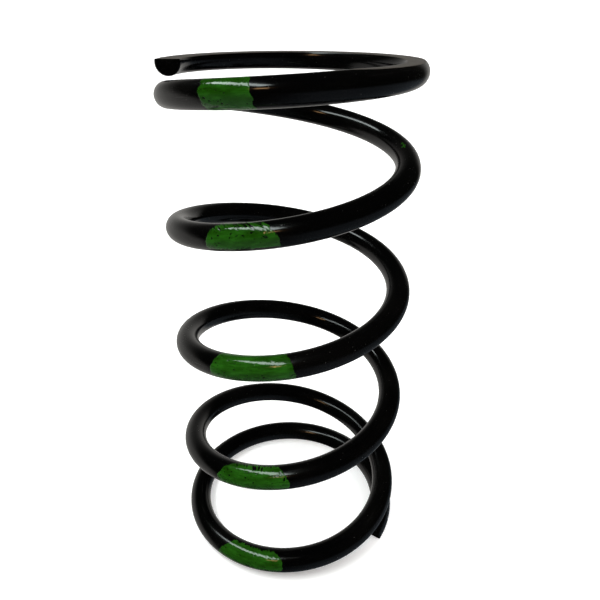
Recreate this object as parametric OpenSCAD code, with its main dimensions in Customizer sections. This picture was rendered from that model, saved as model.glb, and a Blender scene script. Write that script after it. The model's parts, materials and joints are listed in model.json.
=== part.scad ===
// Helical compression spring for a coil-over suspension strut: round wire, closed and ground ends.
// The axis is Z, the lower seat face lies in the plane z = 0, and the coils climb anticlockwise.
// A turn is an angle along the wire, in degrees. Turn 0 is where the wire first crosses the plane
// y = 0 on the +X side, and the lower tip lies a little before it.
// The one bar of wire is drawn as sections that meet face to face in the plane y = 0.

/* [Coil] */
// Diameter of the wire
wire_d = 7.6; // [7:0.1:8.2]
// Bore through the coils
inner_d = 63.5; // [60:0.5:70]
// Height between the two seat faces with no load
free_length = 165; // [155:1:180]
// Turn by which the lower tip lies before turn 0
tip_turn = 34; // [20:1:60]

/* [Closed ends] */
// How far the wire's centre lies inside the seat face at each tip
tip_inset = 1.0; // [1:0.1:1.6]
// Climb of the closed coil over each half turn from its tip
closed_rise = 1.8; // [1.6:0.1:2.2]
// Turn from the tip at which the wire starts to leave the closed coil
ramp_start = 210; // [200:5:230]
// Turn from the tip at which the wire has its full slope
ramp_end = 430; // [420:5:440]

/* [Paint marks] */
// Thickness of the paint
paint_t = 0.15; // [0.1:0.05:0.3]
// Turn from the plane y = 0 to the start of each mark
paint_start = 50; // [30:10:90]
// Turn of the wire that each mark covers
paint_turn = 40; // [20:10:60]
// How far each mark reaches round the wire, above and below its outer side
paint_reach = 108; // [90:18:126]

/* [Smoothness] */
// Rings of points along each half turn of wire
steps = 18; // [18:18:36]
// Points round the wire
sides = 20; // [20:20:40]

/* [Hidden] */

wire_r = wire_d / 2;
mean_r = (inner_d + wire_d) / 2;
half = 180;
// The wire ends after eleven half turns, on the -X side.
last_turn = 11 * half;
total_turn = tip_turn + last_turn;
// Climb of the working coils over each half turn, so that the seat faces are free_length apart
ramp_mid = (ramp_start + ramp_end) / 2;
full_rise = (free_length - 2 * tip_inset - 2 * closed_rise * ramp_mid / half)
    / ((total_turn - 2 * ramp_mid) / half);
ring_step = half / steps;
side_step = 360 / sides;
// Wider than the coils
wide = 4 * mean_r;

STEEL = "#1c1c1e";
PAINT = "#2a6e2b";

// Turn past the middle of the ramp, with a smooth start, at turn t from a tip
function ramp(t) =
    t <= ramp_start ? 0 :
    t >= ramp_end ? t - ramp_mid :
    pow(t - ramp_start, 2) / (2 * (ramp_end - ramp_start));

// How far the ramp has grown, from 0 in the closed coil to 1 in the working coils
function ramp_part(t) = min(1, max(0, (t - ramp_start) / (ramp_end - ramp_start)));

// Distance of the wire's centre from the nearer seat face, at turn t from that end's tip
function inset(t) = tip_inset + (closed_rise * t + (full_rise - closed_rise) * ramp(t)) / half;

// Turn from the nearer tip
function from_tip(turn) = min(turn + tip_turn, last_turn - turn);

// Height of the wire's centre
function wire_z(turn) =
    turn + tip_turn < total_turn / 2 ? inset(from_tip(turn)) : free_length - inset(from_tip(turn));

// The bar is round across its own slope, so an upright cut through it is a little taller than wide
function tall(turn) =
    let (rise = closed_rise + (full_rise - closed_rise) * ramp_part(from_tip(turn)))
    sqrt(1 + pow(rise / (PI * mean_r), 2));

// Point at distance r from the wire's centre, at angle a round the wire: 0 is outward and 90 is up
function on_wire(turn, a, r) =
    let (out = mean_r + r * cos(a))
    [out * cos(turn), out * sin(turn), wire_z(turn) + r * sin(a) * tall(turn)];

// Turns of the rings from turn a to turn b: both ends, and every ring step between them
function ring_turns(a, b) = [
    a,
    for (k = [floor(a / ring_step) + 1:ceil(b / ring_step) - 1]) k * ring_step,
    b
];

// The two triangles between the points p and p + 1 of one ring and q and q + 1 of the next,
// seen from outside
function patch(p, p_next, q, q_next) = [[p, p_next, q_next], [p, q_next, q]];

// Solid bar from turn a to turn b
module bar(a, b) {
    turns = ring_turns(a, b);
    last = len(turns) - 1;
    points = [
        for (turn = turns, j = [0:sides - 1]) on_wire(turn, j * side_step, wire_r)
    ];
    walls = [
        for (i = [0:last - 1], j = [0:sides - 1])
        let (p = i * sides, q = p + sides, k = (j + 1) % sides)
        each patch(p + j, p + k, q + j, q + k)
    ];
    first_cap = [for (j = [sides - 1:-1:0]) j];
    last_cap = [for (j = [0:sides - 1]) last * sides + j];
    polyhedron(points, concat(walls, [first_cap, last_cap]), convexity = 8);
}

// Half turn number n of the bar, counted from turn 0
module half_turn(n) {
    color(STEEL) bar((n - 1) * half, n * half);
}

// An end coil, ground flat where the wire would pass a seat face
module ground_bar(a, b) {
    color(STEEL)
        intersection() {
            bar(a, b);
            translate([-wide / 2, -wide / 2, 0])
                cube([wide, wide, free_length]);
        }
}

// Thin coat of paint on the outer side of the bar, in half turn number n
module mark(n) {
    start = (n - 1) * half + paint_start;
    turns = ring_turns(start, start + paint_turn);
    last = len(turns) - 1;
    reach = round(paint_reach / side_step);
    row = 2 * reach + 1;
    layer = (last + 1) * row;
    points = [
        for (r = [wire_r + paint_t, wire_r], turn = turns, j = [-reach:reach])
        on_wire(turn, j * side_step, r)
    ];
    outer = [
        for (i = [0:last - 1], j = [0:row - 2])
        let (p = i * row + j, q = p + row)
        each patch(p, p + 1, q, q + 1)
    ];
    inner = [for (face = outer) [face[2] + layer, face[1] + layer, face[0] + layer]];
    low_edge = [
        for (i = [0:last - 1])
        let (p = i * row, q = p + row)
        each patch(p, q, p + layer, q + layer)
    ];
    high_edge = [
        for (i = [0:last - 1])
        let (p = i * row + row - 1, q = p + row)
        each patch(p + layer, q + layer, p, q)
    ];
    start_edge = [
        for (j = [0:row - 2])
        each patch(j + 1, j, j + 1 + layer, j + layer)
    ];
    end_edge = [
        for (j = [0:row - 2])
        let (p = last * row + j)
        each patch(p, p + 1, p + layer, p + 1 + layer)
    ];
    color(PAINT)
        polyhedron(
            points,
            concat(outer, inner, low_edge, high_edge, start_edge, end_edge),
            convexity = 4
        );
}

// The lower seat: the tip and the closed coil, ground flat underneath
module bottom_end_coil() {
    ground_bar(-tip_turn, 2 * half);
}

module bottom_lead_in() {
    half_turn(3);
}

module turn_2_front() {
    half_turn(4);
}

module turn_2_back() {
    half_turn(5);
}

module turn_3_front() {
    half_turn(6);
}

module turn_3_back() {
    half_turn(7);
}

module turn_4_front() {
    half_turn(8);
}

module top_lead_in() {
    half_turn(9);
}

// The upper seat: the closed coil and its tip, ground flat on top
module top_end_coil() {
    ground_bar(9 * half, last_turn);
}

module paint_mark_1() {
    mark(2);
}

module paint_mark_2() {
    mark(4);
}

module paint_mark_3() {
    mark(6);
}

module paint_mark_4() {
    mark(8);
}

module paint_mark_5() {
    mark(10);
}

bottom_end_coil();
bottom_lead_in();
turn_2_front();
turn_2_back();
turn_3_front();
turn_3_back();
turn_4_front();
top_lead_in();
top_end_coil();
paint_mark_1();
paint_mark_2();
paint_mark_3();
paint_mark_4();
paint_mark_5();
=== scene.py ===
"""Black coil spring with closed, ground ends and brushed green marks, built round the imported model.
It holds, in this order: the wire's path, mesh helpers, materials, the wire, the marks, and the studio.

Lengths are in metres, and angles are in degrees unless a name says otherwise. A turn is an angle
along the wire: turn 0 is where the wire crosses the plane y = 0 on the +X side, just after its lower
tip, and it climbs anticlockwise to LAST_TURN at its upper tip. An angle round the wire is 0 on the
outer side and 90 on top.
"""

import json
import math

import bpy
import numpy as np
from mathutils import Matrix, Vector, noise

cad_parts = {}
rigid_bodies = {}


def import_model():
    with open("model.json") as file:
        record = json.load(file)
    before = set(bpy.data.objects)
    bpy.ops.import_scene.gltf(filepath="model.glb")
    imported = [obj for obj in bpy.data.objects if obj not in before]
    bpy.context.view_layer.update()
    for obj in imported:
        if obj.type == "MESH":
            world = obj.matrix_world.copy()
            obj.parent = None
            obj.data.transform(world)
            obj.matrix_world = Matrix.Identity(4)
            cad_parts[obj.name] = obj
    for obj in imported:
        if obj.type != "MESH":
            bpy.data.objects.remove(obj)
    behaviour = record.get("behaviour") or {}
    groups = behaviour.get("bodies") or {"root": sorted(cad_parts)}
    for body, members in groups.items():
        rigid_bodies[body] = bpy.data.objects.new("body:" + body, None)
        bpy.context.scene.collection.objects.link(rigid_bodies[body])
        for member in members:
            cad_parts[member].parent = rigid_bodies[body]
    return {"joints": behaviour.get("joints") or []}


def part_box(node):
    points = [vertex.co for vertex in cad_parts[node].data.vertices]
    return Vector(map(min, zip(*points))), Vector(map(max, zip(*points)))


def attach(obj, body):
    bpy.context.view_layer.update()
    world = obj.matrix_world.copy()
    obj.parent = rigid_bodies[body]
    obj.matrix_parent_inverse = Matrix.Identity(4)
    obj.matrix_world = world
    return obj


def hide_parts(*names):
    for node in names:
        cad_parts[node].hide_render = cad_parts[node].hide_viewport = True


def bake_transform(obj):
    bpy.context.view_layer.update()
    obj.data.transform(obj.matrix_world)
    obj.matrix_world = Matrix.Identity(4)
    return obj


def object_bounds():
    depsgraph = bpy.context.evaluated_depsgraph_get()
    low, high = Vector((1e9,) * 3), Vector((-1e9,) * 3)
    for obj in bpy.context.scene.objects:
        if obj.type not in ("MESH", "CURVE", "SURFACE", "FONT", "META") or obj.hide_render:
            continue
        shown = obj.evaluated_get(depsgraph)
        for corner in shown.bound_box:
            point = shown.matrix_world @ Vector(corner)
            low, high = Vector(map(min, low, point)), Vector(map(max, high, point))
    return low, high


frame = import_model()
CAD_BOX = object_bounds()

MM = 0.001

# Sizes from the frame
MEAN_R = abs(frame["joints"][0]["pos_m"][0])
WIRE_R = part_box("turn_3_back")[1][0] - MEAN_R
FREE_LENGTH = CAD_BOX[1][2]

# The wire's path, as in the CAD
TIP_TURN = 34
LAST_TURN = 11 * 180
TOTAL_TURN = TIP_TURN + LAST_TURN
TIP_INSET = 1.0 * MM
CLOSED_RISE = 1.8 * MM
RAMP_START = 210
RAMP_END = 430
RAMP_MID = (RAMP_START + RAMP_END) / 2
FULL_RISE = (FREE_LENGTH - 2 * TIP_INSET - 2 * CLOSED_RISE * RAMP_MID / 180) / (
    (TOTAL_TURN - 2 * RAMP_MID) / 180
)

# Fineness of the meshes
RING_STEP = 3.0
ROUND_SIDES = 48
GROUND_ARC = 40
GROUND_FLAT = 8
# Rings round the run-out of a ground face, in degrees towards the tip
RUN_OUT_STEPS = (-2.4, -1.1, -0.4, 0, 0.12, 0.45, 1.0, 1.7, 2.6)
PAINT_CELL = 0.17 * MM

# Small edges
GROUND_CHAMFER = 0.15 * MM
LEAST_EDGE = 0.01 * MM
TIP_BEVEL = 0.35 * MM

# Past the run-out of a ground face, how far its points spread out again, as a share of the wire's
# half height, and the steepest that its edges get, in degrees
SPREAD_LEVEL = 0.7
STEEPEST_EDGE = 88


# ---------------------------------------------------------------- the wire's path


def inset(t):
    """Distance of the wire's centre from the nearer seat face, at turn t from that end's tip."""
    t = np.asarray(t, float)
    growing = (t - RAMP_START) ** 2 / (2 * (RAMP_END - RAMP_START))
    ramp = np.where(t <= RAMP_START, 0, np.where(t >= RAMP_END, t - RAMP_MID, growing))
    return TIP_INSET + (CLOSED_RISE * t + (FULL_RISE - CLOSED_RISE) * ramp) / 180


def from_tip(turn):
    return np.minimum(turn + TIP_TURN, LAST_TURN - turn)


def height(turn):
    """Height of the wire's centre."""
    near_bottom = turn + TIP_TURN < TOTAL_TURN / 2
    depth = inset(from_tip(turn))
    return np.where(near_bottom, depth, FREE_LENGTH - depth)


def tall(turn):
    """How much taller than wide an upright cut through the sloping wire is."""
    part = np.clip((from_tip(turn) - RAMP_START) / (RAMP_END - RAMP_START), 0, 1)
    rise = CLOSED_RISE + (FULL_RISE - CLOSED_RISE) * part
    return np.sqrt(1 + (rise / (math.pi * MEAN_R)) ** 2)


def place(turn, outward, upward):
    """Point at a distance outward and upward from the wire's centre, in the upright plane there."""
    turn = np.asarray(turn, float)
    angle = np.radians(turn)
    reach = MEAN_R + outward
    return np.stack(
        np.broadcast_arrays(
            reach * np.cos(angle), reach * np.sin(angle), height(turn) + upward
        ),
        -1,
    )


def on_wire(turn, around, r):
    a = np.radians(around)
    return place(turn, r * np.cos(a), r * np.sin(a) * tall(turn))


def wire_normal(turn, around):
    """Outward normal of the round wire."""
    small = 0.05
    along = on_wire(turn + small, around, WIRE_R) - on_wire(turn - small, around, WIRE_R)
    over = on_wire(turn, around + small, WIRE_R) - on_wire(turn, around - small, WIRE_R)
    n = np.cross(along, over)
    return n / np.linalg.norm(n, axis=-1, keepdims=True)


def run_length(turn):
    """Length of wire up to a turn."""
    return MEAN_R * np.radians(turn)


# ---------------------------------------------------------------- mesh helpers


def new_object(name, points, faces, materials, places, face_materials=None, normals=None):
    """Mesh object. places holds each point's position on the unrolled wire, for the textures."""
    mesh = bpy.data.meshes.new(name)
    mesh.from_pydata([tuple(p) for p in points], [], faces)
    for m in materials:
        mesh.materials.append(m)
    if face_materials is not None:
        mesh.polygons.foreach_set("material_index", face_materials)
    mesh.polygons.foreach_set("use_smooth", [True] * len(faces))
    attribute = mesh.attributes.new("wire_place", "FLOAT_VECTOR", "POINT")
    attribute.data.foreach_set("vector", np.asarray(places, np.float32).ravel())
    if normals is not None:
        mesh.normals_split_custom_set([tuple(n) for n in normals])
    obj = bpy.data.objects.new(name, mesh)
    bpy.context.scene.collection.objects.link(obj)
    return obj


def round_section(turn):
    """(outward, upward, around) of the points of a whole round section."""
    around = np.arange(ROUND_SIDES) * 360 / ROUND_SIDES
    a = np.radians(around)
    return WIRE_R * np.cos(a), WIRE_R * tall(turn) * np.sin(a), around


def ground_section(turn, side):
    """The same for a section that is cut by the seat face above (side 1) or below (side -1).
    The points GROUND_ARC + 1 onwards lie on the flat, with a narrow chamfer on each side of it."""
    half_height = WIRE_R * float(tall(turn))
    depth = float(inset(from_tip(turn)))
    level = depth / half_height
    if level > 1:
        # past the run-out, the same points spread out again over the round wire
        level = max(2 - level, SPREAD_LEVEL)
    chamfer = min(GROUND_CHAMFER, 0.5 * (1 - level) * half_height)
    corner = min(math.asin(level - chamfer / half_height), math.radians(STEEPEST_EDGE))
    arc = np.linspace(math.pi - corner, 2 * math.pi + corner, GROUND_ARC + 1)
    flat_half = WIRE_R * math.cos(corner) - max(chamfer, LEAST_EDGE)
    flat = np.linspace(flat_half, -flat_half, GROUND_FLAT + 1)
    rim = half_height * np.sqrt(1 - (flat / WIRE_R) ** 2)
    outward = np.concatenate([WIRE_R * np.cos(arc), flat])
    upward = np.concatenate([half_height * np.sin(arc), np.minimum(depth, rim)])
    around = np.degrees(np.concatenate([arc, np.arctan2(rim / half_height, flat / WIRE_R)]))
    if side < 0:
        return outward[::-1], -upward[::-1], -around[::-1]
    return outward, upward, around


def run_out(side):
    """Turn where the seat face above (side 1) or below (side -1) runs out of the wire."""
    low, high = 0.0, float(RAMP_END)
    nearly_nothing = 1e-6
    while high - low > nearly_nothing:
        middle = (low + high) / 2
        if inset(middle) < WIRE_R * tall(middle - TIP_TURN):
            low = middle
        else:
            high = middle
    return high - TIP_TURN if side < 0 else LAST_TURN - high


def wire_piece(name, first, last, side=0):
    """Stretch of wire from turn first to turn last. side says which seat face cuts it, if any."""
    count = max(2, round((last - first) / RING_STEP))
    turns = list(np.linspace(first, last, count + 1))
    if side:
        # closer rings where the ground face narrows to its rounded end
        middle = run_out(side)
        turns = [t for t in turns if abs(t - middle) > RUN_OUT_STEPS[-1] + 0.5]
        turns += [middle + side * step for step in RUN_OUT_STEPS]
        turns.sort()
    bevel_turn = math.degrees(TIP_BEVEL / MEAN_R)
    low_tip = first == -TIP_TURN
    high_tip = last == LAST_TURN
    if low_tip:
        turns[0:1] = [first, first + bevel_turn]
    if high_tip:
        turns[-1:] = [last - bevel_turn, last]

    points, places, arounds = [], [], []
    for turn in turns:
        section = ground_section(turn, side) if side else round_section(turn)
        outward, upward, around = section
        if (low_tip and turn == first) or (high_tip and turn == last):
            keep = 1 - TIP_BEVEL / WIRE_R
            middle = upward.mean()
            outward = outward * keep
            upward = middle + (upward - middle) * keep
        points.append(place(turn, outward, upward))
        run = np.full(len(outward), run_length(turn))
        places.append(np.stack([run, outward, upward], -1))
        arounds.append(around)
    points, arounds = np.array(points), np.array(arounds)
    rings, sides = arounds.shape

    round_normals = np.array([wire_normal(t, a) for t, a in zip(turns, arounds)])
    cut = [bool(side) and inset(from_tip(t)) < WIRE_R * tall(t) - 1e-7 for t in turns]
    up = np.array([0, 0, 1.0 if side > 0 else -1.0])
    flat_first = GROUND_ARC + 1 if side > 0 else 0
    flat_last = flat_first + GROUND_FLAT

    faces, materials, normals = [], [], []
    for i in range(rings - 1):
        bevel = (low_tip and i == 0) or (high_tip and i == rings - 2)
        for j in range(sides):
            k = (j + 1) % sides
            corners = [(i, j), (i + 1, j), (i + 1, k), (i, k)]
            faces.append([a * sides + b for a, b in corners])
            on_flat = bool(side) and flat_first <= j < flat_last
            on_edge = bool(side) and (j == flat_last or k == flat_first)
            here = [round_normals[c] for c in corners]
            if bevel:
                a, b, c = (points[p] for p in corners[:3])
                n = np.cross(b - a, c - a)
                here = [n / np.linalg.norm(n)] * 4
            elif on_flat:
                here = [up if cut[c[0]] else n for c, n in zip(corners, here)]
            elif on_edge:
                here = [n + up if cut[c[0]] else n for c, n in zip(corners, here)]
            normals += [n / np.linalg.norm(n) for n in here]
            ground = (on_flat or on_edge) and (cut[i] or cut[i + 1]) and not bevel
            materials.append(1 if ground else 0)
    for i, order, facing in ((0, -1, -1), (rings - 1, 1, 1)):
        ring = [i * sides + j for j in range(sides)][::-1]
        faces.append(ring if facing > 0 else ring[::-1])
        a = math.radians(turns[i])
        n = facing * np.array([-math.sin(a), math.cos(a), 0])
        normals += [n] * sides
        materials.append(0)
    return new_object(
        name,
        points.reshape(-1, 3),
        faces,
        [black_paint, ground_paint],
        np.concatenate(places),
        materials,
        normals,
    )


# ---------------------------------------------------------------- materials


def shader_nodes(name):
    """A new material, its nodes and links, and its shader."""
    material = bpy.data.materials.new(name)
    material.use_nodes = True
    tree = material.node_tree
    return material, tree.nodes, tree.links, tree.nodes["Principled BSDF"]


def wire_noise(nodes, links, stretch, detail=3.0, roughness=0.5):
    """Noise on the unrolled wire. stretch is the number of waves in a metre along, across and up."""
    where = nodes.new("ShaderNodeAttribute")
    where.attribute_name = "wire_place"
    mapping = nodes.new("ShaderNodeMapping")
    mapping.inputs["Scale"].default_value = stretch
    links.new(where.outputs["Vector"], mapping.inputs["Vector"])
    texture = nodes.new("ShaderNodeTexNoise")
    texture.inputs["Scale"].default_value = 1.0
    texture.inputs["Detail"].default_value = detail
    texture.inputs["Roughness"].default_value = roughness
    links.new(mapping.outputs["Vector"], texture.inputs["Vector"])
    return texture.outputs["Fac"]


def ranged(nodes, links, value, low, high, out_low, out_high):
    """value, read from low to high, turned into out_low to out_high."""
    node = nodes.new("ShaderNodeMapRange")
    for key, number in zip(
        ("From Min", "From Max", "To Min", "To Max"), (low, high, out_low, out_high)
    ):
        node.inputs[key].default_value = number
    links.new(value, node.inputs["Value"])
    return node.outputs["Result"]


def smooth_ranged(nodes, links, value, low, high, out_low, out_high):
    result = ranged(nodes, links, value, low, high, out_low, out_high)
    result.node.interpolation_type = "SMOOTHSTEP"
    return result


def mixed(nodes, links, factor, a, b):
    """Colour a where factor is 0 and b where it is 1."""
    node = nodes.new("ShaderNodeMix")
    node.data_type = "RGBA"
    links.new(factor, node.inputs["Factor"])
    for socket, colour in (("A", a), ("B", b)):
        target = [s for s in node.inputs if s.name == socket and s.type == "RGBA"][0]
        if isinstance(colour, bpy.types.NodeSocket):
            links.new(colour, target)
        else:
            target.default_value = (*colour, 1)
    return [s for s in node.outputs if s.type == "RGBA"][0]


def arithmetic(nodes, links, operation, a, b):
    node = nodes.new("ShaderNodeMath")
    node.operation = operation
    for i, value in enumerate((a, b)):
        if isinstance(value, bpy.types.NodeSocket):
            links.new(value, node.inputs[i])
        else:
            node.inputs[i].default_value = value
    return node.outputs[0]


def bumped(nodes, links, shader, layers):
    """Adds bumps to the shader. Each layer is (height socket, depth in metres)."""
    last = None
    for value, depth in layers:
        bump = nodes.new("ShaderNodeBump")
        bump.inputs["Distance"].default_value = depth
        links.new(value, bump.inputs["Height"])
        if last is not None:
            links.new(last, bump.inputs["Normal"])
        last = bump.outputs["Normal"]
    links.new(last, shader.inputs["Normal"])


def make_black_paint():
    """Gloss black coating with orange peel, faint haze, dust specks and fine scratches."""
    material, nodes, links, shader = shader_nodes("black_coated_wire")
    shader.inputs["IOR"].default_value = 1.45
    haze = wire_noise(nodes, links, (60, 110, 110), 4)
    specks = wire_noise(nodes, links, (1500, 1500, 1500), 1)
    scratches = wire_noise(nodes, links, (45, 1900, 1900), 2)
    peel = wire_noise(nodes, links, (700, 700, 700), 2)
    dust = ranged(nodes, links, specks, 0.74, 0.80, 0, 1)
    scratch = ranged(nodes, links, scratches, 0.70, 0.78, 0, 1)
    clean = mixed(
        nodes,
        links,
        ranged(nodes, links, haze, 0.45, 0.75, 0, 1),
        (0.0004, 0.0004, 0.00045),
        (0.0016, 0.0015, 0.0014),
    )
    marked = arithmetic(nodes, links, "MAXIMUM", dust, scratch)
    shade = arithmetic(nodes, links, "MULTIPLY", marked, 0.5)
    colour = mixed(nodes, links, shade, clean, (0.030, 0.029, 0.027))
    links.new(colour, shader.inputs["Base Color"])
    gloss = ranged(nodes, links, haze, 0.3, 0.8, 0.10, 0.20)
    rough = arithmetic(
        nodes, links, "ADD", gloss, arithmetic(nodes, links, "MULTIPLY", marked, 0.2)
    )
    links.new(rough, shader.inputs["Roughness"])
    bumped(nodes, links, shader, [(peel, 0.000012), (scratches, 0.000005)])
    return material


def make_ground_paint():
    """The same coating, satin and laid thinly over the ground faces, with grinding lines under it. Its
    warm dark grey colour is a painted reflection of the room on satin black, varying in random
    patches.
    """
    material, nodes, links, shader = shader_nodes("black_over_ground_steel")
    shader.inputs["IOR"].default_value = 1.5
    lines = wire_noise(nodes, links, (2600, 160, 160), 3)
    patches = wire_noise(nodes, links, (120, 260, 260), 4)
    # warm dark grey: a painted reflection of the room on the satin black coat, varied in random
    # patches
    colour = mixed(
        nodes,
        links,
        ranged(nodes, links, patches, 0.35, 0.7, 0, 1),
        (0.026, 0.0220, 0.0180),
        (0.046, 0.0395, 0.0325),
    )
    links.new(colour, shader.inputs["Base Color"])
    rough = ranged(nodes, links, patches, 0.3, 0.75, 0.32, 0.44)
    links.new(rough, shader.inputs["Roughness"])
    bumped(nodes, links, shader, [(lines, 0.000012), (patches, 0.00002)])
    return material


def make_green_paint():
    """Brushed gloss green: mottled colour, with black scuffs and pits. Below, it is greyer and darker:
    painted shade and a painted reflection of the floor.
    """
    material, nodes, links, shader = shader_nodes("green_paint")
    shader.inputs["IOR"].default_value = 1.45
    clouds = wire_noise(nodes, links, (180, 420, 420), 4)
    strokes = wire_noise(nodes, links, (300, 2200, 2200), 3)
    scuffs = wire_noise(nodes, links, (520, 900, 900), 4, 0.65)
    pits = wire_noise(nodes, links, (1300, 2400, 2400), 2)
    where = nodes.new("ShaderNodeAttribute")
    where.attribute_name = "wire_place"
    split = nodes.new("ShaderNodeSeparateXYZ")
    links.new(where.outputs["Vector"], split.inputs["Vector"])
    # low is 1 on the underside of the wire, where the painted shade and the painted reflection of the
    # floor go
    low = ranged(nodes, links, split.outputs["Z"], 0.25 * WIRE_R, -0.65 * WIRE_R, 0, 1)
    bright = (0.0130, 0.076, 0.0048)
    deep = (0.0055, 0.035, 0.0008)
    # underside colour: painted shade and a painted reflection of the floor
    underside_shade_and_sheen = (0.014, 0.036, 0.013)
    body = mixed(nodes, links, ranged(nodes, links, clouds, 0.38, 0.62, 0, 1), bright, deep)
    streaked = mixed(
        nodes, links, ranged(nodes, links, strokes, 0.48, 0.72, 0, 0.75), body, deep
    )
    lower = mixed(
        nodes, links, arithmetic(nodes, links, "MULTIPLY", low, 0.7), streaked, underside_shade_and_sheen
    )
    # scuffs grow a little more common on the underside
    worn = arithmetic(
        nodes, links, "ADD", scuffs, arithmetic(nodes, links, "MULTIPLY", low, 0.05)
    )
    gone = arithmetic(
        nodes,
        links,
        "MAXIMUM",
        ranged(nodes, links, worn, 0.63, 0.70, 0, 0.85),
        ranged(nodes, links, pits, 0.68, 0.73, 0, 0.9),
    )
    scuffed = mixed(nodes, links, gone, lower, (0.003, 0.006, 0.003))
    links.new(scuffed, shader.inputs["Base Color"])
    links.new(ranged(nodes, links, clouds, 0.3, 0.7, 0.06, 0.13), shader.inputs["Roughness"])
    bumped(nodes, links, shader, [(strokes, 0.000008), (clouds, 0.000010)])
    return material


def make_studio_paint(name, glow):
    """Matt white for the floor and the backdrop, which glows a little."""
    material, _, _, shader = shader_nodes(name)
    shader.inputs["Base Color"].default_value = (0.9, 0.9, 0.895, 1)
    shader.inputs["Roughness"].default_value = 0.9
    shader.inputs["Specular IOR Level"].default_value = 0.0
    shader.inputs["Emission Color"].default_value = (1, 1, 1, 1)
    shader.inputs["Emission Strength"].default_value = glow
    return material


black_paint = make_black_paint()
ground_paint = make_ground_paint()
green_paint = make_green_paint()


# ---------------------------------------------------------------- the wire

# The bodies from the bottom up, and the joints between them, as the record has them
JOINTS = frame["joints"]
CHAIN = [JOINTS[0]["parent"]] + [j["child"] for j in JOINTS]
# Turn of the first joint
FIRST_JOINT_TURN = 3 * 180


def joint_turn(i):
    return FIRST_JOINT_TURN + 180 * i


def bend_across(piece):
    """Bakes the piece's place into its mesh and leaves it with no body; nothing makes it twist across
    the joint that it lies across.
    """
    # the wire passes a joint on the -X side from back to front, and one on +X from front to back
    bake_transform(piece)


WIRE_NODES = [
    "bottom_lead_in",
    "turn_2_front",
    "turn_2_back",
    "turn_3_front",
    "turn_3_back",
    "turn_4_front",
    "top_lead_in",
    "top_end_coil",
]


def build_wire():
    """Rigid end coils, and between them half turns that each reach across one joint."""
    bottom = wire_piece("wire_bottom", -TIP_TURN, joint_turn(0) - 90, side=-1)
    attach(bottom, CHAIN[0])
    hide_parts("bottom_end_coil", "bottom_lead_in")
    for i in range(len(JOINTS)):
        turn = joint_turn(i)
        piece = wire_piece(f"wire_half_turn_{i + 1}", turn - 90, turn + 90)
        bend_across(piece)
        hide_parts(WIRE_NODES[i], WIRE_NODES[i + 1])
    top = wire_piece("wire_top", joint_turn(len(JOINTS) - 1) + 90, LAST_TURN, side=1)
    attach(top, CHAIN[-1])
    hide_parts("top_end_coil")


# ---------------------------------------------------------------- the green marks

PAINT_T = 0.03 * MM
# How far the edge of a mark dips into the wire, so that its visible outline is where it emerges
PAINT_DIP = 0.06 * MM
PAINT_ROOT = 0.3 * MM

# Each mark, in millimetres. s runs up along the wire from the given turn, and a runs up round the
# wire from its outer side. low and high are its lower and upper edges. left and right are its ends:
# s at the lower edge, s at the upper edge, and how late the one goes over into the other. ragged is
# the length of the bristle marks on the upper edge, and dry the depth of the streaky zone below it,
# whose streaks lean by lean. specks is how far up the missed spots lie, and how many there are.
MARKS = [
    {
        "turn": 250,
        "low": -1.1,
        "high": 6.7,
        "left": (-12.6, -8.2, 1.3),
        "right": (9.9, 6.2, 3.0),
        "ragged": 1.5,
        "dry": 0.8,
        "lean": 0.3,
        "specks": (3.0, 0.35),
        "seed": 1,
    },
    {
        "turn": 612,
        "low": -1.8,
        "high": 7.7,
        "left": (-12.2, -6.0, 2.6),
        "right": (11.0, 6.0, 2.0),
        "ragged": 1.3,
        "dry": 2.6,
        "lean": 0.4,
        "specks": (2.6, 0.8),
        "seed": 2,
    },
    {
        "turn": 970,
        "low": -2.8,
        "high": 8.8,
        "left": (-11.3, -9.8, 1.0),
        "right": (13.9, 10.2, 1.4),
        "ragged": 0.4,
        "dry": 0.0,
        "lean": 0.3,
        "specks": (2.6, 0.55),
        "seed": 3,
    },
    {
        "turn": 1330,
        "low": -2.6,
        "high": 7.6,
        "left": (-9.4, -5.0, 3.0),
        "right": (10.2, 2.8, 1.8),
        "ragged": 1.2,
        "dry": 4.2,
        "lean": 1.1,
        "specks": (1.7, 1.0),
        "seed": 4,
    },
    {
        "turn": 1683,
        "low": -6.2,
        "high": 5.8,
        "left": (-2.6, -5.4, 0.7),
        "right": (9.4, 7.4, 1.0),
        "ragged": 0.3,
        "dry": 0.5,
        "lean": 0.3,
        "specks": (-1.8, 0.7),
        "seed": 5,
    },
]
# The joint that each mark lies across; the lowest mark is on the rigid end coil
MARK_JOINTS = [None, 0, 2, 4, 6]

# A short smear of the same paint on top of the wire, laid out in the same way
SMEAR = {
    "turn": 1444,
    "low": 6.2,
    "high": 7.5,
    "left": (-2.6, -3.0, 1.0),
    "right": (2.9, 2.0, 1.0),
    "ragged": 0.5,
    "dry": 0.6,
    "lean": 0.3,
    "specks": (6.8, 0.5),
    "seed": 6,
}


def rough(x, y, size, seed):
    """Smooth random number near 0, whose features have about the given size, all in millimetres."""
    return noise.noise(Vector((x / size, y / size, seed * 7.3)))


def paint_end(limits, u):
    low, high, late = limits
    return low + (high - low) * u**late


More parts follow.
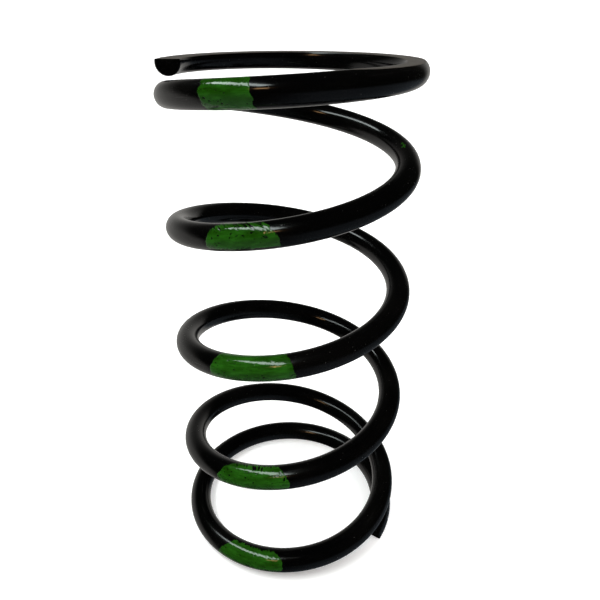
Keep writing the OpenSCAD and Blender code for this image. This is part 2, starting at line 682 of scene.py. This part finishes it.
def paint_cover(s, a, mark):
    """Distance in millimetres inside the painted outline. It is negative on bare wire."""
    seed = mark["seed"]
    u = min(1.0, max(0.0, (a - mark["low"]) / (mark["high"] - mark["low"])))
    bristle = max(0.0, rough(s + 0.35 * a, 0.12 * a, 0.75, seed + 2) + 0.12)
    edges = (
        s - paint_end(mark["left"], u) + 0.5 * rough(a, 0, 1.8, seed + 3),
        paint_end(mark["right"], u) - s + 0.4 * rough(a, 0, 1.6, seed + 4),
        a - mark["low"] + 0.6 * rough(s, 0, 3.0, seed + 9),
        mark["high"] - a - mark["ragged"] * (1.6 * bristle - 0.35)
        + 0.7 * rough(s, 0, 4.0, seed + 5),
    )
    corner = 0.45
    inside = -corner * math.log(sum(math.exp(-min(e, 20.0) / corner) for e in edges))
    ragged = 0.3 * rough(s, a, 1.3, seed) + 0.18 * rough(s, a, 0.5, seed + 1)
    row, amount = mark["specks"]
    near_row = math.exp(-(((a - row) / 1.7) ** 2))
    bare = rough(0.7 * s, a, 0.62, seed + 6) + 0.6 * rough(s, a, 0.33, seed + 7)
    speck = (0.86 - 0.42 * amount * near_row - bare) * 0.35
    streak = 9.0
    if mark["dry"] > 0:
        depth = (mark["high"] - a) / mark["dry"]
        hairs = s + mark["lean"] * a
        streak = 0.3 * (depth - 0.42) + 0.55 * rough(hairs, 0.25 * a, 0.55, seed + 8) + 0.04
    return min(inside + ragged, speck, streak)


def paint_grid(mark):
    """The pad's points, as s and a in millimetres, and how far each is lifted off the wire."""
    margin = 1.3
    feather = 0.5
    fall = 0.08
    start = min(mark["left"][:2]) - margin
    end = max(mark["right"][:2]) + margin
    low, high = mark["low"] - margin, mark["high"] + margin + 0.5 * mark["ragged"]
    columns = round((end - start) * MM / PAINT_CELL)
    rows = round((high - low) * MM / PAINT_CELL)
    along = np.linspace(start, end, columns + 1)
    around = np.linspace(low, high, rows + 1)
    lift = np.full((columns + 1, rows + 1), -PAINT_DIP)
    for i in range(1, columns):
        for j in range(1, rows):
            cover = paint_cover(along[i], around[j], mark)
            rise = min(1.0, max(0.0, cover / feather))
            dip = min(1.0, max(0.0, -cover / fall))
            body = 1 + 0.12 * rough(0.25 * along[i], around[j], 0.8, mark["seed"] + 8)
            lift[i, j] = PAINT_T * body * rise * (2 - rise) - PAINT_DIP * dip
    return along, around, lift


def paint_pad(name, mark):
    """Thin closed pad of paint on the wire."""
    along, around, lift = paint_grid(mark)
    turn = mark["turn"] + np.degrees(along * MM / MEAN_R)
    angle = np.degrees(around * MM / WIRE_R)
    turns, angles = np.meshgrid(turn, angle, indexing="ij")
    top = on_wire(turns, angles, WIRE_R + lift)
    root = on_wire(turns, angles, WIRE_R - PAINT_ROOT)
    a = np.radians(angles)
    flat = np.stack([run_length(turns), WIRE_R * np.cos(a), WIRE_R * np.sin(a)], -1)
    points = np.concatenate([top.reshape(-1, 3), root.reshape(-1, 3)])
    places = np.concatenate([flat.reshape(-1, 3)] * 2)

    columns, rows = len(along) - 1, len(around) - 1
    row = rows + 1
    layer = (columns + 1) * row
    faces = []
    for i in range(columns):
        for j in range(rows):
            p = i * row + j
            quad = [p, p + row, p + row + 1, p + 1]
            faces.append(quad)
            faces.append([q + layer for q in quad][::-1])
    rim = [i * row for i in range(columns + 1)]
    rim += [columns * row + j for j in range(1, rows + 1)]
    rim += [i * row + rows for i in range(columns - 1, -1, -1)]
    rim += list(range(rows - 1, 0, -1))
    for p, q in zip(rim, rim[1:] + rim[:1]):
        faces.append([q, p, p + layer, q + layer])
    piece = new_object(name, points, faces, [green_paint], places)
    return piece


def build_marks():
    for number, (mark, joint) in enumerate(zip(MARKS, MARK_JOINTS), start=1):
        piece = paint_pad(f"green_mark_{number}", mark)
        if joint is None:
            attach(piece, CHAIN[0])
        else:
            bend_across(piece)
        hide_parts(f"paint_mark_{number}")
    bend_across(paint_pad("green_smear", SMEAR))


# ---------------------------------------------------------------- floor, light and camera

# Where the camera stands and how it is turned, in metres and degrees. Its shift is small.
CAMERA_BACK = 0.1751
CAMERA_UP = 0.1773
CAMERA_TILT = 23.76
LENS = 34.57
SHIFT = (0.0153, -0.0573)

# The floor's half width, and the radius of the backdrop
STUDIO_REACH = 5.0


def stage_piece(name, points, faces, material):
    """Part of the studio. It is left out of reflections, where the room stands in for it."""
    mesh = bpy.data.meshes.new(name)
    mesh.from_pydata(points, [], faces)
    mesh.materials.append(material)
    obj = bpy.data.objects.new(name, mesh)
    obj.visible_glossy = False
    bpy.context.scene.collection.objects.link(obj)
    return obj


def build_floor():
    r = STUDIO_REACH
    z = CAD_BOX[0][2] - 0.02 * MM
    corners = [(-r, -r, z), (r, -r, z), (r, r, z), (-r, r, z)]
    stage_piece("floor", corners, [[0, 1, 2, 3]], make_studio_paint("pale_floor", 0.35))


def build_backdrop():
    """White dome that only the camera sees."""
    sides, levels, depth_below = 48, 12, 10
    points = [(0, 0, STUDIO_REACH)]
    faces = []
    for i in range(1, levels + 1):
        e = math.radians(90 - (90 + depth_below) * i / levels)
        for j in range(sides):
            a = 2 * math.pi * j / sides
            k = (j + 1) % sides
            here = 1 + (i - 1) * sides
            across, up = STUDIO_REACH * math.cos(e), STUDIO_REACH * math.sin(e)
            points.append((across * math.cos(a), across * math.sin(a), up))
            if i == 1:
                faces.append([0, here + k, here + j])
            else:
                faces.append([here - sides + j, here - sides + k, here + k, here + j])
    dome = stage_piece("backdrop", points, faces, make_studio_paint("white_backdrop", 1.0))
    dome.visible_diffuse = False
    dome.visible_shadow = False


def area_light(name, azimuth, elevation, distance, size, radiance, colour):
    """Soft rectangular light that faces the middle of the spring. Azimuth 0 is +Y and 90 is +X."""
    light = bpy.data.lights.new(name, "AREA")
    light.shape = "RECTANGLE"
    light.size, light.size_y = size
    light.energy = radiance * math.pi * size[0] * size[1]
    light.color = colour
    a, e = math.radians(azimuth), math.radians(elevation)
    toward = Vector((math.sin(a) * math.cos(e), math.cos(a) * math.cos(e), math.sin(e)))
    target = Vector((0, 0, FREE_LENGTH / 2))
    obj = bpy.data.objects.new(name, light)
    obj.location = target + toward * distance
    obj.rotation_euler = toward.to_track_quat("Z", "Y").to_euler()
    bpy.context.scene.collection.objects.link(obj)
    return obj


def build_lights():
    area_light("window", -104, 60, 1.2, (1.30, 0.19), 9.0, (0.89, 1.0, 0.98))
    area_light("lamp", -153, 35, 0.9, (0.14, 0.09), 9.5, (1.0, 0.58, 0.26))
    ceiling = bpy.data.lights.new("ceiling", "SUN")
    ceiling.energy = 4.2
    ceiling.angle = math.radians(80)
    obj = bpy.data.objects.new("ceiling", ceiling)
    obj.visible_glossy = False
    bpy.context.scene.collection.objects.link(obj)


def build_world():
    """A dark room, seen only in reflections: paler low down, most of all to the back and left."""
    world = bpy.data.worlds.new("room")
    bpy.context.scene.world = world
    world.use_nodes = True
    nodes, links = world.node_tree.nodes, world.node_tree.links
    sky = nodes["Background"]
    where = nodes.new("ShaderNodeTexCoord").outputs["Generated"]
    split = nodes.new("ShaderNodeSeparateXYZ")
    links.new(where, split.inputs["Vector"])
    height_up = split.outputs["Z"]

    def toward(azimuth, elevation, low, high):
        """0 to 1 as the direction nears the one given, between two cosines of the angle to it."""
        a, e = math.radians(azimuth), math.radians(elevation)
        dot = nodes.new("ShaderNodeVectorMath")
        dot.operation = "DOT_PRODUCT"
        links.new(where, dot.inputs[0])
        dot.inputs[1].default_value = (
            math.sin(a) * math.cos(e),
            math.cos(a) * math.cos(e),
            math.sin(e),
        )
        return smooth_ranged(nodes, links, dot.outputs["Value"], low, high, 0, 1)

    wall = arithmetic(
        nodes,
        links,
        "MULTIPLY",
        arithmetic(
            nodes, links, "MULTIPLY", toward(-32, 0, 0.20, 0.50), toward(-10, -47, 0.06, 0.36)
        ),
        smooth_ranged(nodes, links, height_up, 0.50, -0.12, 0.10, 1),
    )
    table = arithmetic(
        nodes,
        links,
        "MULTIPLY",
        toward(80, 0, -0.55, 0.35),
        smooth_ranged(nodes, links, height_up, -0.06, -0.30, 0, 1),
    )
    room = mixed(nodes, links, table, (0.013, 0.0135, 0.0115), (0.115, 0.135, 0.155))
    colour = mixed(nodes, links, wall, room, (0.46, 0.45, 0.43))
    links.new(colour, sky.inputs["Color"])


def build_camera():
    data = bpy.data.cameras.new("camera")
    data.lens = LENS
    data.shift_x, data.shift_y = SHIFT
    data.clip_start = 0.01
    camera = bpy.data.objects.new("camera", data)
    camera.location = (0, -CAMERA_BACK, CAMERA_UP)
    camera.rotation_euler = (math.radians(90 - CAMERA_TILT), 0, 0)
    bpy.context.scene.collection.objects.link(camera)
    bpy.context.scene.camera = camera


bpy.context.scene.view_settings.view_transform = "Standard"
build_camera()
build_floor()
build_backdrop()
build_lights()
build_world()
build_wire()
build_marks()
